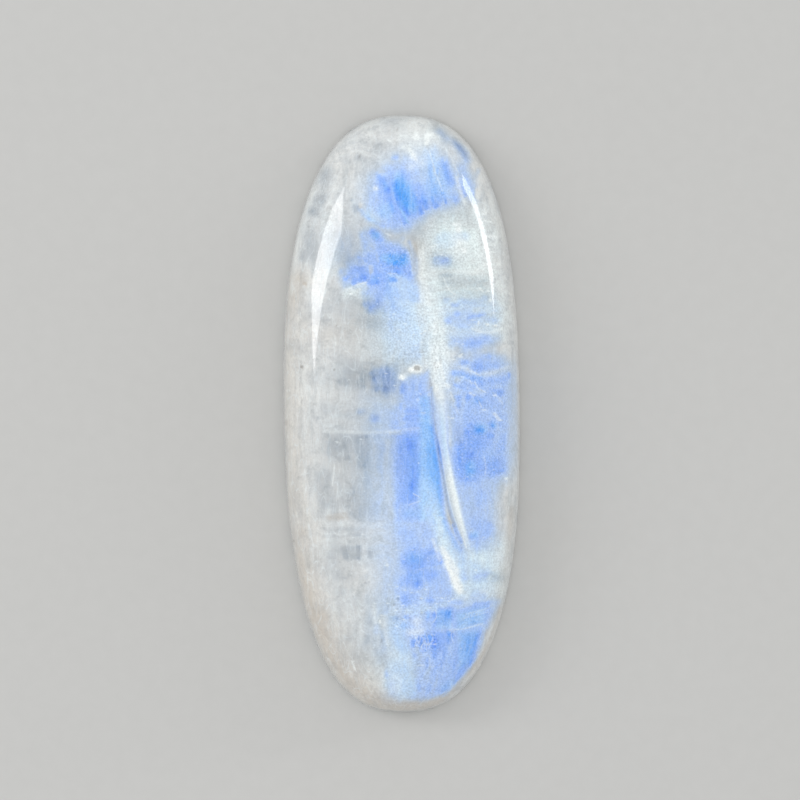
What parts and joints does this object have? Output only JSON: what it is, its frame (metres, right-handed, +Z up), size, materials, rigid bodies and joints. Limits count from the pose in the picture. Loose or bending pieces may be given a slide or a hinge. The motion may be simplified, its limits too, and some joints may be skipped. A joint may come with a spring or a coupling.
{
  "type": "polished moonstone cabochon",
  "caption": "Long oval cabochon of milky rainbow moonstone with a low polished dome and a flat back, a loose gem that rests on its back or is set in a bezel.",
  "frame": {"origin": "middle of the flat back, on the surface that the stone rests on", "axes": "+Y along the stone's length, towards its slightly wider end; +Z up through the dome"},
  "size_m": [0.0182, 0.046, 0.0064],
  "materials": {
    "moonstone": "polished, milky, with a blue sheen"
  },
  "bodies": {
    "root": {"moonstone": "moonstone"}
  },
  "joints": []
}
